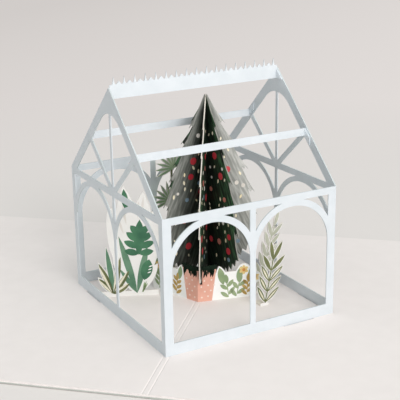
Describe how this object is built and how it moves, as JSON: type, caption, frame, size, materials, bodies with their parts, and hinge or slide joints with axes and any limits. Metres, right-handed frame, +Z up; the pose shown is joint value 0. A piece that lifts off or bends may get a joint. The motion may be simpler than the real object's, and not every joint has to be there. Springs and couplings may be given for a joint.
{
  "type": "pop up card",
  "caption": "Opened square greeting card whose laser-cut paper greenhouse stands over the fold, with a decorated paper tree in a pot and die-cut plants inside.",
  "frame": {"origin": "middle of the underside of the opened card, under the fold", "axes": "+X across the two pages to the right page, +Y along the fold away from the viewer, +Z up"},
  "size_m": [0.306, 0.152, 0.0883],
  "materials": {
    "card": "matt",
    "pearl_sheet": "pearl",
    "tree_print": "satin",
    "scenery_print": "satin",
    "leaf_print": "satin"
  },
  "bodies": {
    "root": {"outer_cover": "card", "inner_page": "card", "greenhouse_front": "pearl_sheet", "greenhouse_rear": "pearl_sheet", "ridge_crest": "pearl_sheet", "front_purlin": "pearl_sheet", "rear_purlin": "pearl_sheet", "tree_centre": "tree_print", "tree_left": "tree_print", "tree_right": "tree_print", "scenery_strip": "scenery_print", "left_plants": "leaf_print", "rear_fronds": "leaf_print", "right_sprig": "leaf_print", "rear_sprig": "leaf_print"}
  },
  "joints": []
}
